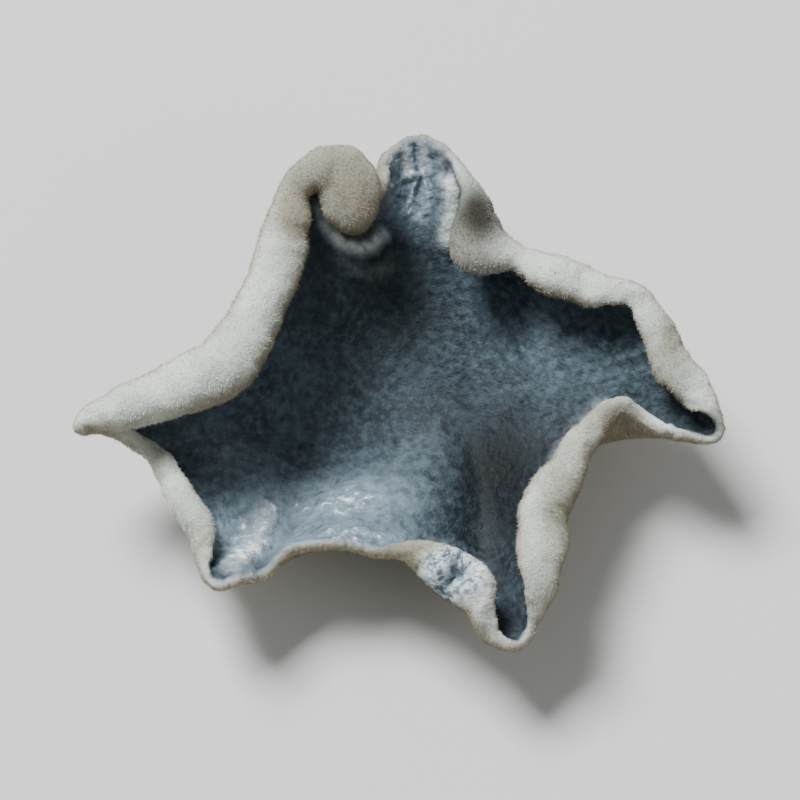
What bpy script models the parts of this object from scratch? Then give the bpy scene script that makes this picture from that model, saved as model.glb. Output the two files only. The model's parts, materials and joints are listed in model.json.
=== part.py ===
"""A dried wood ear: one thin leathery sheet, grown as a cup and cut from its wood at a short foot.

In drying the sheet has drawn up into a star, and its margins have rolled inward over the cup.
Everything is in metres with +Z up. The cut of the foot and the belly of the cup rest on Z = 0,
and the origin is below the middle of the outline.
"""
import math

import bmesh
import bpy
import numpy as np
from mathutils import Matrix

MM = 0.001
NAME = "wood_ear"

# The sheet, in millimetres
HUB = (-0.5, 1.5, 0.6)        # lowest place of the middle layer, where all ribs begin
HUB_RUN = 0.48                # share of its way to the margin that a rib starts out level
THICKNESS_HUB = 0.90
THICKNESS_CREST = 0.46
THICKNESS_EDGE = 0.34         # at the free edge, inside the roll

# How far round the cup a fold still shows, in radians: the folds die out towards the hub
CALM_HUB = 0.55
CALM_MARGIN = 0.05
CALM_FACING = 0.085           # the same for the direction in which the margin faces

# The cut foot under the back of the cup, in millimetres
FOOT_AT = (0.7, 7.2)
FOOT_RADIUS = 1.3             # of the flat cut
FOOT_FLARE = 3.2              # where its root has run out into the cup

# How the cup lies, in millimetres: on its foot and on two low places of its flattened belly
SETTLED = 0.5                 # how far the belly has sunk onto the ground
RESTS = ((0.44, 0.77), (-2.56, 2.57))
REST_WIDTH = 1.4
REST_SLOPE = 0.12             # how steeply the skin rises between what touches

# The knob in which the left roll ends, in millimetres and degrees
KNOB_AT = (-2.85, 10.85, 7.75)
KNOB_HALF = (1.42, 2.05, 1.15)
KNOB_DROOP = 18               # its front end hangs lower
KNOB_TURN = 11                # and points to the right

# The margin, anticlockwise from the right tip. Each landmark has its place on the crest, the lean
# of the sheet above level as it arrives there, the length over which it keeps that lean, and the
# radius and the turn of the roll that follows: mm, mm, mm, degrees, mm, mm, degrees.
MARGIN = (
    ("right tip",           14.1,  -0.3, 6.0, 35, 3.0, 0.34,  60),
    ("right roll, end",     13.8,   1.0, 6.7, 70, 2.4, 0.58, 195),
    ("right roll",          12.4,   3.4, 7.0, 80, 2.4, 0.66, 195),
    ("right corner",        10.5,   6.1, 7.5, 66, 2.4, 0.54, 165),
    ("upper right roll",     8.4,   6.9, 7.2, 80, 3.5, 0.62, 205),
    ("upper right swell",    6.5,   7.8, 7.1, 80, 3.5, 0.70, 205),
    ("upper right bend",     5.3,   8.3, 6.9, 80, 3.5, 0.48, 195),
    ("neck, right side",     4.2,   9.3, 6.4, 80, 2.4, 1.15, 190),
    ("neck, right fold",     2.9,  11.6, 6.7, 82, 2.2, 0.34, 130),
    ("neck, right corner",   2.0,  13.2, 6.4, 60, 2.2, 0.34,  50),
    ("neck",                 0.3,  14.0, 6.2, 50, 3.0, 0.36,  40),
    ("neck, left corner",   -1.1,  13.0, 6.2, 62, 2.2, 0.34,  60),
    ("notch",               -1.5,  11.8, 6.6, 84, 2.0, 0.36, 120),
    ("knob, end",           -2.4,  12.1, 7.8, 80, 2.6, 0.80, 225),
    ("knob",                -3.9,  12.6, 8.2, 76, 3.0, 0.92, 230),
    ("left roll, bend",     -5.5,  11.3, 8.4, 80, 3.0, 0.60, 215),
    ("left roll, top",      -6.3,   9.6, 8.5, 80, 3.5, 0.76, 225),
    ("left roll, middle",   -7.7,   5.2, 8.4, 82, 4.0, 0.98, 225),
    ("left roll, low",     -10.4,   2.2, 8.2, 82, 3.0, 1.12, 220),
    ("left horn",          -13.1,   1.1, 7.8, 84, 2.2, 0.80, 215),
    ("left horn, end",     -14.7,   0.3, 7.5, 84, 2.0, 0.48, 215),
    ("left tip",           -15.2,  -0.5, 7.1, 80, 1.6, 0.30, 190),
    ("under the horn",     -13.8,   0.1, 5.8, 75, 1.6, 0.32,  60),
    ("left hollow",        -12.4,  -0.7, 5.0, 72, 1.8, 0.38,  90),
    ("lower left roll",    -10.1,  -4.6, 5.5, 78, 2.4, 0.46, 170),
    ("lower left corner",   -9.0,  -7.4, 5.4, 45, 3.0, 0.36,  50),
    ("front left",          -5.6,  -6.0, 5.4, 66, 2.6, 0.34,  40),
    ("front",               -1.8,  -5.6, 5.6, 66, 2.6, 0.34,  40),
    ("front nub",            2.0,  -8.0, 6.1, 80, 2.4, 0.72, 205),
    ("lower right corner",   4.9, -10.2, 4.8, 40, 2.2, 0.40,  60),
    ("lower right roll",     6.8,  -5.6, 6.6, 92, 2.4, 0.95, 200),
    ("right flank",          7.9,  -1.6, 6.6, 92, 2.4, 0.55, 150),
    ("right hollow",         9.7,   0.7, 6.4, 88, 2.2, 0.34,  80),
    ("right tip, front",    12.4,  -0.4, 6.0, 70, 2.2, 0.34,  50),
)

# Swells and dents that run through both faces: place, rise, half width and half length in
# millimetres, and the turn of the long way from +Y in degrees.
SWELLS = (
    ("mound in the middle",          0.5, -1.5, 1.15, 2.0, 1.9,   0),
    ("mound at the front",          -2.4, -3.8,  1.1, 2.4, 1.6,   0),
    ("valley right of the mounds",   3.8, -3.6, -0.8, 1.1, 3.0,   6),
    ("valley left of the mounds",   -5.8, -4.0, -0.6, 1.1, 2.4, -10),
    ("swell in the right half",      6.8,  2.4,  0.6, 2.0, 1.8,   0),
    ("fold behind the knob",        -3.4,  7.4,  0.6, 0.9, 2.0, -20),
    ("dent in the left flank",      -8.0, -0.8,  0.6, 1.6, 1.2,   0),
)

# The net of the sheet before the skins are made, and the finished skin
RINGS = 36                    # rows from the hub to the crest of the margin
ROLL_ROWS = 18                # rows from the crest to the free edge, round the roll
COLUMNS = 240
SKIN_GRAIN = 0.16             # mm, cell size at which folds that touch have dried together
EDGE_SOFTENING = 4            # rounds of smoothing, which round off the free edge
FACETS = 9000                 # triangles kept on the finished skin


def clear_scene():
    for old in list(bpy.data.objects):
        bpy.data.objects.remove(old, do_unlink=True)


def smoothstep(value):
    value = np.clip(value, 0.0, 1.0)
    return value * value * (3.0 - 2.0 * value)


def calm(loop, spread):
    """Takes the waves shorter than the spread, in radians, out of a closed row of values."""
    waves = np.fft.rfft(loop, axis=0)
    order = np.arange(len(waves))
    waves *= np.exp(-0.5 * (order * spread) ** 2)[:, None]
    return np.fft.irfft(waves, len(loop), axis=0)


def blend(start, end, knot_start, knot_end, knot):
    return ((knot_end - knot) * start + (knot - knot_start) * end) / (knot_end - knot_start)


def margin_curve(steps_each=24):
    """A closed curve through the landmarks that carries lean, run and roll along with the place."""
    rows = np.array([landmark[1:] for landmark in MARGIN], dtype=float)
    points = []
    for i in range(len(rows)):
        a, b, c, d = (rows[(i + k) % len(rows)] for k in (-1, 0, 1, 2))
        gaps = [math.sqrt(math.dist(p[:2], q[:2])) for p, q in ((a, b), (b, c), (c, d))]
        ta, tb, tc, td = 0.0, gaps[0], gaps[0] + gaps[1], sum(gaps)
        for t in np.linspace(tb, tc, steps_each, endpoint=False):
            ab = blend(a, b, ta, tb, t)
            bc = blend(b, c, tb, tc, t)
            cd = blend(c, d, tc, td, t)
            points.append(blend(blend(ab, bc, ta, tc, t), blend(bc, cd, tb, td, t), tb, tc, t))
    return np.array(points)


def margin_columns():
    """The margin at COLUMNS places, evenly spaced along its outline."""
    curve = margin_curve()
    closed = np.vstack((curve, curve[:1]))
    steps = np.linalg.norm(np.diff(closed[:, :2], axis=0), axis=1)
    along = np.concatenate(([0.0], np.cumsum(steps)))
    places = np.linspace(0.0, along[-1], COLUMNS, endpoint=False)
    return np.stack([np.interp(places, along, values) for values in closed.T], axis=1)


def facing_of(crest):
    """The level direction in which each place of the margin faces outward."""
    ahead = np.roll(crest, -1, axis=0) - np.roll(crest, 1, axis=0)
    facing = np.stack((ahead[:, 1], -ahead[:, 0], np.zeros(len(crest))), axis=1)
    facing /= np.linalg.norm(facing, axis=1, keepdims=True)
    facing = calm(facing, CALM_FACING)
    return facing / np.linalg.norm(facing, axis=1, keepdims=True)


def swell_height(x, y):
    height = np.zeros_like(x)
    for _, centre_x, centre_y, rise, half_width, half_length, turn in SWELLS:
        angle = math.radians(turn)
        across = (x - centre_x) * math.cos(angle) + (y - centre_y) * math.sin(angle)
        along = (y - centre_y) * math.cos(angle) - (x - centre_x) * math.sin(angle)
        height += rise * np.exp(-0.5 * ((across / half_width) ** 2 + (along / half_length) ** 2))
    return height


def middle_layer():
    """Rows of points halfway between the two faces: from the hub to the crest, then round the roll."""
    columns = margin_columns()
    crest = columns[:, :3]
    lean = np.radians(columns[:, 3])
    run = columns[:, 4:5]
    radius = columns[:, 5]
    turn = np.radians(columns[:, 6])
    facing = facing_of(crest)
    up = np.array((0.0, 0.0, 1.0))
    hub = np.array(HUB)

    # Each rib is a Bezier curve that leaves the hub level and arrives at the crest with its lean.
    level_out = hub + (crest - hub) * (HUB_RUN, HUB_RUN, 0.0)
    arriving = crest - (np.cos(lean)[:, None] * facing + np.sin(lean)[:, None] * up) * run
    rows = []
    for share in np.linspace(0.0, 1.0, RINGS + 1):
        rest = 1.0 - share
        ring = (rest ** 3 * hub + 3 * rest ** 2 * share * level_out
                + 3 * rest * share ** 2 * arriving + share ** 3 * crest)
        ring = calm(ring, CALM_HUB * rest ** 1.3 + CALM_MARGIN * (1.0 - share ** 6))
        ring[:, 2] += swell_height(ring[:, 0], ring[:, 1]) * smoothstep(rest / 0.25)
        rows.append(ring)

    # The roll goes on from there as an arc that turns up, inward and down again.
    for step in range(1, ROLL_ROWS + 1):
        angle = lean + turn * step / ROLL_ROWS
        outward = radius * (np.sin(angle) - np.sin(lean))
        upward = radius * (np.cos(lean) - np.cos(angle))
        rows.append(crest + outward[:, None] * facing + upward[:, None] * up)
    return np.array(rows) * MM


def flat_disc():
    """A flat polar net: one spoke of points, spun round the hub. Its unit is one row."""
    net = bmesh.new()
    spoke = [net.verts.new((row, 0.0, 0.0)) for row in range(RINGS + ROLL_ROWS + 1)]
    edges = [net.edges.new(pair) for pair in zip(spoke, spoke[1:])]
    bmesh.ops.spin(net, geom=spoke + edges, cent=(0, 0, 0), axis=(0, 0, 1),
                   angle=2.0 * math.pi, steps=COLUMNS, use_merge=True)
    bmesh.ops.remove_doubles(net, verts=net.verts, dist=0.001)
    bmesh.ops.recalc_face_normals(net, faces=net.faces)
    mesh = bpy.data.meshes.new(NAME)
    net.to_mesh(mesh)
    net.free()
    return mesh


def shape_sheet(ear):
    """Lays the flat disc along the ribs and rolls, and notes how thick each place is."""
    layer = middle_layer()
    thickness = ear.vertex_groups.new(name="thickness")
    thick_at_row = np.interp(np.arange(len(layer)), (0, RINGS, RINGS + ROLL_ROWS),
                             (THICKNESS_HUB, THICKNESS_CREST, THICKNESS_EDGE))
    weight_of_row = (thick_at_row - THICKNESS_EDGE) / (THICKNESS_HUB - THICKNESS_EDGE)
    for vertex in ear.data.vertices:
        row = round(vertex.co.xy.length)
        column = round(math.atan2(vertex.co.y, vertex.co.x) / (2.0 * math.pi) * COLUMNS) % COLUMNS
        vertex.co = layer[row, column]
        thickness.add([vertex.index], weight_of_row[row], "REPLACE")


def apply_modifiers(ear):
    """Makes the modifiers' result the object's own mesh."""
    graph = bpy.context.evaluated_depsgraph_get()
    result = bpy.data.meshes.new_from_object(ear.evaluated_get(graph))
    ear.modifiers.clear()
    ear.data = result


def thicken(ear):
    """Gives the sheet its two faces and its free edge."""
    shell = ear.modifiers.new("two faces", "SOLIDIFY")
    shell.thickness = THICKNESS_HUB * MM
    shell.offset = 0.0
    shell.vertex_group = "thickness"
    shell.thickness_vertex_group = THICKNESS_EDGE / THICKNESS_HUB
    apply_modifiers(ear)


def draw_out_foot(ear):
    """Pulls the outer face down to the cut round the foot, and flattens what lies on the ground."""
    for vertex in ear.data.vertices:
        vertex.co.z -= SETTLED * MM
        away = math.dist(vertex.co.xy / MM, FOOT_AT)
        from_rests = [math.dist(vertex.co.xy / MM, place) for place in RESTS]
        if vertex.normal.z < 0.0 and vertex.co.z < 4.0 * MM:
            vertex.co.z *= 1.0 - smoothstep((FOOT_FLARE - away) / (FOOT_FLARE - FOOT_RADIUS))
            for gap in from_rests:
                vertex.co.z *= 1.0 - smoothstep((REST_WIDTH - gap) / REST_WIDTH)
        clear = min(from_rests + [max(away - FOOT_RADIUS, 0.0)])
        vertex.co.z = max(vertex.co.z, REST_SLOPE * clear * MM)


def add_knob(ear):
    """The end of the left roll has curled up into a knob and dried solid."""
    net = bmesh.new()
    net.from_mesh(ear.data)
    place = (Matrix.Translation([side * MM for side in KNOB_AT])
             @ Matrix.Rotation(math.radians(KNOB_TURN), 4, "Z")
             @ Matrix.Rotation(math.radians(KNOB_DROOP), 4, "X")
             @ Matrix.Diagonal([half * MM for half in KNOB_HALF] + [1.0]))
    bmesh.ops.create_icosphere(net, subdivisions=4, radius=1.0, matrix=place)
    net.to_mesh(ear.data)
    net.free()


def close_skin(ear):
    """Joins the folds that touch, and keeps only the facets that the shape needs."""
    join = ear.modifiers.new("dried together", "REMESH")
    join.mode = "VOXEL"
    join.voxel_size = SKIN_GRAIN * MM
    join.adaptivity = 0.0
    soften = ear.modifiers.new("soft free edge", "SMOOTH")
    soften.factor = 0.5
    soften.iterations = EDGE_SOFTENING
    apply_modifiers(ear)
    ear.data.calc_loop_triangles()
    thin_out = ear.modifiers.new("facets", "DECIMATE")
    thin_out.ratio = FACETS / len(ear.data.loop_triangles)
    thin_out.use_collapse_triangulate = True
    apply_modifiers(ear)
    for vertex in ear.data.vertices:
        away = math.dist(vertex.co.xy / MM, FOOT_AT)
        if vertex.co.z < SKIN_GRAIN * MM / 2 and away < FOOT_RADIUS + 0.4:
            vertex.co.z = 0.0
    for place in RESTS:
        ground = (place[0] * MM, place[1] * MM, 0.0)
        lowest = min(ear.data.vertices, key=lambda vertex: math.dist(vertex.co, ground))
        lowest.co.z = 0.0


def centre_on_origin(ear):
    corners = np.array([vertex.co for vertex in ear.data.vertices])
    middle = (corners.min(axis=0) + corners.max(axis=0)) / 2.0
    ear.data.transform(Matrix.Translation((-middle[0], -middle[1], 0.0)))


def dried_wood_ear_finish():
    """Slate dark and leathery, as the inside of the cup shows."""
    finish = bpy.data.materials.new("dried wood ear")
    finish.use_nodes = True
    shader = finish.node_tree.nodes["Principled BSDF"]
    shader.inputs["Base Color"].default_value = (0.035, 0.043, 0.050, 1.0)
    shader.inputs["Roughness"].default_value = 0.6
    shader.inputs["Metallic"].default_value = 0.0
    return finish


def make_wood_ear():
    ear = bpy.data.objects.new(NAME, flat_disc())
    group = bpy.data.collections.new("dried wood ear mushroom")
    bpy.context.scene.collection.children.link(group)
    group.objects.link(ear)
    shape_sheet(ear)
    thicken(ear)
    draw_out_foot(ear)
    add_knob(ear)
    close_skin(ear)
    centre_on_origin(ear)
    ear.data.materials.clear()
    ear.data.materials.append(dried_wood_ear_finish())
    ear.data.shade_smooth()
    return ear


clear_scene()
make_wood_ear()
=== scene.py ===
# %% [markdown]
# # A dried wood ear
# A wood ear is a mushroom that grows as a thin gelatinous cup on dead wood. Fresh, it is soft and
# brown. Dried, it shrinks to a hard leathery sheet: smooth and slate dark inside the cup, pale and
# felted outside. The sheet has drawn up into a star, and its margins have rolled inward, so the
# pale outside shows as tubes round the dark cup.
#
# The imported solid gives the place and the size. Everything here is built round it, in metres.

import json
import math

import bmesh
import bpy
import numpy as np
from mathutils import Matrix, Vector
from mathutils.bvhtree import BVHTree

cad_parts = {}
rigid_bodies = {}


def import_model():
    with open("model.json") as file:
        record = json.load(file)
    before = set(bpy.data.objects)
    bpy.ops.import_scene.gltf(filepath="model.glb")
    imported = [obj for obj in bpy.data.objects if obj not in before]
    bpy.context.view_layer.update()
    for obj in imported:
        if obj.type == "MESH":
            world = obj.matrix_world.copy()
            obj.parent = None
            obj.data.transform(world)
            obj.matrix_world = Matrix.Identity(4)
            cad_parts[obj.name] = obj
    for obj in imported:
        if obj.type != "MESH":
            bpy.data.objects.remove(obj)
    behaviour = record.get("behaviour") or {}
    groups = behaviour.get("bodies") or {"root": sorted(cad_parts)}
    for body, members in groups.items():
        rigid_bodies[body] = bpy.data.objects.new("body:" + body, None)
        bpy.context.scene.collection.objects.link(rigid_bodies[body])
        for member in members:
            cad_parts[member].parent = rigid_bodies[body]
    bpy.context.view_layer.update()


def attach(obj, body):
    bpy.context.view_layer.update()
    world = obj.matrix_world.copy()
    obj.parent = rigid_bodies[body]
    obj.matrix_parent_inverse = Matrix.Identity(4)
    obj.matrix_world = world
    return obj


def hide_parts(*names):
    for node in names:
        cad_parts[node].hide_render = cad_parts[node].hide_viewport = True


for leftover in list(bpy.data.objects):
    bpy.data.objects.remove(leftover, do_unlink=True)

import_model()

MM = 0.001
UP = np.array((0.0, 0.0, 1.0))

# %% [markdown]
# ## Camera, floor and light
# The camera looks down from about 70 degrees above level, as onto a bowl on a table, and from far
# off, so that lines stay nearly parallel. The thing is only 30 mm wide, so the near clipping plane
# has to come closer than Blender's usual 0.1 m. The light is one wide soft panel, high and behind
# the cup to the left, and a faint one at the front right, over a dim even sky.

# %% Camera
CAMERA_ABOVE_LEVEL = math.radians(70.0)
LENS = 250.0                  # mm
SENSOR = 36.0                 # mm, the usual width in Blender
SEEN_WIDTH = 37.0 * MM        # what the square picture takes in at the mushroom
AIM = Vector((0.0, -0.2, 4.4)) * MM


def put(name, data):
    """Makes an object of a mesh, a lamp or a camera, and puts it in the scene."""
    thing = bpy.data.objects.new(name, data)
    bpy.context.scene.collection.objects.link(thing)
    return thing


towards_camera = Vector((0.0, -math.cos(CAMERA_ABOVE_LEVEL), math.sin(CAMERA_ABOVE_LEVEL)))
camera = put("camera", bpy.data.cameras.new("camera"))
camera.data.lens = LENS
camera.data.clip_start = 1.0 * MM
camera.data.clip_end = 20.0
camera.location = AIM + towards_camera * SEEN_WIDTH * LENS / SENSOR
camera.rotation_euler = (-towards_camera).to_track_quat("-Z", "Y").to_euler()
bpy.context.scene.camera = camera
print("camera at, mm:", [round(1000 * side) for side in camera.location])

# %% Helpers for colours and nodes


def linear(hex_colour):
    """An sRGB colour such as #8090a0, as the linear values that shaders take."""
    channels = [int(hex_colour[i:i + 2], 16) / 255.0 for i in (1, 3, 5)]
    return tuple(c / 12.92 if c <= 0.04045 else ((c + 0.055) / 1.055) ** 2.4
                 for c in channels) + (1.0,)


def fill(tree, node, inputs):
    """Fills a node's inputs, given by name or number. A hex colour is made linear, and a node
    stands for its first output."""
    for place, value in inputs.items():
        if isinstance(value, bpy.types.Node):
            value = next(socket for socket in value.outputs if socket.enabled)
        if isinstance(value, bpy.types.NodeSocket):
            tree.links.new(value, node.inputs[place])
        elif isinstance(value, str) and value.startswith("#"):
            node.inputs[place].default_value = linear(value)
        else:
            node.inputs[place].default_value = value


def add(tree, kind, inputs=(), **settings):
    """Adds a node with its settings, and fills its inputs."""
    node = tree.nodes.new(kind)
    node.location = (200 * (len(tree.nodes) % 10), -260 * (len(tree.nodes) // 10))
    for name, value in settings.items():
        setattr(node, name, value)
    fill(tree, node, dict(inputs))
    return node


print("mid grey, #808080, as a linear value:", round(linear("#808080")[0], 3))

# %% Floor and lights
floor_mesh = bpy.data.meshes.new("floor")
net = bmesh.new()
bmesh.ops.create_grid(net, x_segments=1, y_segments=1, size=1.5)
net.to_mesh(floor_mesh)
net.free()
floor = put("floor", floor_mesh)
card = bpy.data.materials.new("pale matt card")
card.use_nodes = True
fill(card.node_tree, card.node_tree.nodes["Principled BSDF"],
     {"Base Color": "#d6d6d3", "Roughness": 0.9})
floor_mesh.materials.append(card)

PANELS = (  # name, place (m), size (m), power (W), colour
    ("soft panel behind", (-0.32, 0.42, 0.78), 0.34, 19.0, "#fbfdff"),
    ("faint panel in front", (0.55, -0.25, 0.50), 0.45, 0.80, "#fff8ee"),
)
for name, place, size, power, colour in PANELS:
    lamp = bpy.data.lights.new(name, "AREA")
    lamp.size, lamp.energy, lamp.color = size, power, linear(colour)[:3]
    panel = put(name, lamp)
    panel.location = place
    panel.rotation_euler = Vector(place).to_track_quat("Z", "Y").to_euler()

sky = bpy.data.worlds.new("dim even sky")
sky.use_nodes = True
fill(sky.node_tree, sky.node_tree.nodes["Background"], {"Color": "#eef4fa", "Strength": 0.28})
bpy.context.scene.world = sky
print("lights:", ", ".join(row[0] for row in PANELS), "and a", sky.name)

# %% [markdown]
# ## The shape of the sheet
# The living cup has dried into its folds, so its shape follows a rule more than a drawing. The
# margin is a closed line through named landmarks. From the lowest place of the cup, the hub, one
# rib runs to each place on that line, leaves level and arrives with the lean of the sheet there,
# and goes on as an arc: the roll. Folds die out towards the hub, so each ring of points has its
# short waves taken out, more the nearer it is. These values are the solid's own, so the sheet
# lies where the solid is, with many more points.

# %% Landmarks of the margin and sizes of the sheet, in millimetres and degrees
HUB = (-0.5, 1.5, 0.6)
HUB_RUN = 0.48                # how far out each rib runs level, as a share of its length
THICKNESS_HUB = 0.90
THICKNESS_CREST = 0.46
THICKNESS_EDGE = 0.34
CALM_HUB = 0.55               # radians, the waves that are taken out near the hub
CALM_MARGIN = 0.05
CALM_FACING = 0.085
FOOT_AT = (0.7, 7.2)
FOOT_RADIUS = 1.3
FOOT_FLARE = 3.2
SETTLED = 0.5                 # how far the cup has sunk on its rests
RESTS = ((0.44, 0.77), (-2.56, 2.57))
REST_WIDTH = 1.4
REST_SLOPE = 0.12
KNOB_AT = (-2.85, 10.85, 7.75)
KNOB_HALF = (1.42, 2.05, 1.15)
KNOB_DROOP = 18
KNOB_TURN = 11

MARGIN = (  # name, place of the crest x y z, lean, run, radius of the roll, turn of the roll
    ("right tip",           14.1,  -0.3, 6.0, 35, 3.0, 0.34,  60),
    ("right roll, end",     13.8,   1.0, 6.7, 70, 2.4, 0.58, 195),
    ("right roll",          12.4,   3.4, 7.0, 80, 2.4, 0.66, 195),
    ("right corner",        10.5,   6.1, 7.5, 66, 2.4, 0.54, 165),
    ("upper right roll",     8.4,   6.9, 7.2, 80, 3.5, 0.62, 205),
    ("upper right swell",    6.5,   7.8, 7.1, 80, 3.5, 0.70, 205),
    ("upper right bend",     5.3,   8.3, 6.9, 80, 3.5, 0.48, 195),
    ("neck, right side",     4.2,   9.3, 6.4, 80, 2.4, 1.15, 190),
    ("neck, right fold",     2.9,  11.6, 6.7, 82, 2.2, 0.34, 130),
    ("neck, right corner",   2.0,  13.2, 6.4, 60, 2.2, 0.34,  50),
    ("neck",                 0.3,  14.0, 6.2, 50, 3.0, 0.36,  40),
    ("neck, left corner",   -1.1,  13.0, 6.2, 62, 2.2, 0.34,  60),
    ("notch",               -1.5,  11.8, 6.6, 84, 2.0, 0.36, 120),
    ("knob, end",           -2.4,  12.1, 7.8, 80, 2.6, 0.80, 225),
    ("knob",                -3.9,  12.6, 8.2, 76, 3.0, 0.92, 230),
    ("left roll, bend",     -5.5,  11.3, 8.4, 80, 3.0, 0.60, 215),
    ("left roll, top",      -6.3,   9.6, 8.5, 80, 3.5, 0.76, 225),
    ("left roll, middle",   -7.7,   5.2, 8.4, 82, 4.0, 0.98, 225),
    ("left roll, low",     -10.4,   2.2, 8.2, 82, 3.0, 1.12, 220),
    ("left horn",          -13.1,   1.1, 7.8, 84, 2.2, 0.80, 215),
    ("left horn, end",     -14.7,   0.3, 7.5, 84, 2.0, 0.48, 215),
    ("left tip",           -15.2,  -0.5, 7.1, 80, 1.6, 0.30, 190),
    ("under the horn",     -13.8,   0.1, 5.8, 75, 1.6, 0.32,  60),
    ("left hollow",        -12.4,  -0.7, 5.0, 72, 1.8, 0.38,  90),
    ("lower left roll",    -10.1,  -4.6, 5.5, 78, 2.4, 0.46, 170),
    ("lower left corner",   -9.0,  -7.4, 5.4, 45, 3.0, 0.36,  50),
    ("front left",          -5.6,  -6.0, 5.4, 66, 2.6, 0.34,  40),
    ("front",               -1.8,  -5.6, 5.6, 66, 2.6, 0.34,  40),
    ("front nub",            2.0,  -8.0, 6.1, 80, 2.4, 0.72, 205),
    ("lower right corner",   4.9, -10.2, 4.8, 40, 2.2, 0.40,  60),
    ("lower right roll",     6.8,  -5.6, 6.6, 92, 2.4, 0.95, 200),
    ("right flank",          7.9,  -1.6, 6.6, 92, 2.4, 0.55, 150),
    ("right hollow",         9.7,   0.7, 6.4, 88, 2.2, 0.34,  80),
    ("right tip, front",    12.4,  -0.4, 6.0, 70, 2.2, 0.34,  50),
)

RINGS = 110                   # rows from the hub to the crest
ROLL_ROWS = 44                # rows from the crest to the free edge
RIM_ROWS = 5                  # rows round the free edge itself
COLUMNS = 720
print(f"{RINGS} rows from the hub to the crest, {ROLL_ROWS} round the roll, {COLUMNS} columns")

# %% [markdown]
# ## What the drying did between the landmarks
# The floor of the cup has swollen in two mounds, with valleys beside them. The neck has drawn
# together in pleats, one of them a sharp ridge, and below the knob the skin has folded into a
# ledge. Swells are bells laid on the sheet. Folds are drawn as lines, and a bell runs across each
# line. A normal map could fake them, but they are wide enough to cast shadows, so they are shape.

# %% Swells, dents and folds that run through both faces of the sheet
SWELLS = (  # name, rise, place x y, half width, half length, turn of the long way from +Y
    ("mound in the middle",        1.15,  0.5, -1.5, 2.0, 1.9,   0),
    ("mound at the front",         1.10, -2.4, -3.8, 2.4, 1.6,   0),
    ("valley right of the mounds", -0.8,  3.8, -3.6, 1.1, 3.0,   6),
    ("valley left of the mounds",  -0.6, -5.8, -4.0, 1.1, 2.4, -10),
    ("swell in the right half",     0.6,  6.8,  2.4, 2.0, 1.8,   0),
    ("fold behind the knob",        0.6, -3.4,  7.4, 0.9, 2.0, -20),
    ("dent in the left flank",      0.6, -8.0, -0.8, 1.6, 1.2,   0),
)

# How pale a fold's crest is: dust, and painted highlight where the crest catches the light.
FOLDS = (  # name, rise, half width, how pale its crest is, line in x y
    ("pleat 1 of the neck", 0.22, 0.17, 0.30, ((-1.05, 12.9), (-1.30, 14.3))),
    ("pleat 2 of the neck", 0.30, 0.17, 0.40, ((-0.15, 12.8), (-0.46, 14.6))),
    ("pleat 3 of the neck", 0.26, 0.15, 0.35, ((0.80, 13.1), (0.45, 14.6))),
    ("pleat 4 of the neck", 0.22, 0.15, 0.25, ((1.55, 12.4), (1.39, 14.2))),
    ("ridge on the neck's right", 0.65, 0.25, 1.0, ((1.95, 12.1), (2.0, 11.0), (1.75, 9.9))),
    ("ledge below the knob", 0.55, 0.18, 0.85,
     ((-4.3, 10.7), (-4.05, 10.1), (-3.6, 9.6), (-3.0, 9.3), (-2.4, 9.3), (-1.8, 9.55),
      (-1.3, 10.1))),
    ("fold below the ledge", 0.14, 0.22, 0.10,
     ((-3.3, 8.9), (-2.7, 8.5), (-2.0, 8.4), (-1.4, 8.6), (-0.9, 9.0))),
    ("crease beside the mounds", -0.18, 0.55, 0.0,
     ((1.9, 3.3), (2.8, 1.1), (3.2, -1.3), (2.9, -3.8), (3.5, -6.1), (3.9, -8.2))),
    ("fold at the front left", 0.30, 0.35, 0.3, ((-8.1, -6.6), (-7.0, -4.6), (-6.6, -3.0))),
    ("fold in the right half", 0.22, 0.30, 0.3, ((6.2, -2.2), (7.2, -0.2), (8.9, 1.6))),
)


def smoothstep(value):
    value = np.clip(value, 0.0, 1.0)
    return value * value * (3.0 - 2.0 * value)


def bump_at(x, y, centre_x, centre_y, half_width, half_length, turn=0.0):
    """1 at the centre, falling off as a bell, with its long way turned from +Y."""
    angle = math.radians(turn)
    across = (x - centre_x) * math.cos(angle) + (y - centre_y) * math.sin(angle)
    along = (y - centre_y) * math.cos(angle) - (x - centre_x) * math.sin(angle)
    return np.exp(-0.5 * ((across / half_width) ** 2 + (along / half_length) ** 2))


def bells(x, y, rows):
    """Adds up a table of bells: name, height, and the place and size that bump_at takes."""
    return sum(height * bump_at(x, y, *place) for _, height, *place in rows)


def beside(x, y, line, half_width):
    """1 on a line of straight stretches, falling off as a bell to both sides."""
    nearest = np.full(np.shape(x), 1e9)
    for (x1, y1), (x2, y2) in zip(line, line[1:]):
        dx, dy = x2 - x1, y2 - y1
        share = np.clip(((x - x1) * dx + (y - y1) * dy) / (dx * dx + dy * dy), 0.0, 1.0)
        gap = (x - x1 - share * dx) ** 2 + (y - y1 - share * dy) ** 2
        nearest = np.minimum(nearest, gap)
    return np.exp(-0.5 * nearest / half_width ** 2)


def fold_height(x, y):
    return sum(rise * beside(x, y, line, half_width)
               for _, rise, half_width, _, line in FOLDS)


print("swells:", len(SWELLS), "folds:", len(FOLDS))

# %% The line of the margin, evenly spaced


def calm(loop, spread):
    """Takes the waves shorter than the spread, in radians, out of a closed row of values."""
    waves = np.fft.rfft(loop, axis=0)
    order = np.arange(len(waves))
    waves *= np.exp(-0.5 * (order * spread) ** 2)[:, None]
    return np.fft.irfft(waves, len(loop), axis=0)


def unit(vectors):
    return vectors / np.linalg.norm(vectors, axis=-1, keepdims=True)


def blend(start, end, knot_start, knot_end, knot):
    return ((knot_end - knot) * start + (knot - knot_start) * end) / (knot_end - knot_start)


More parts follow.
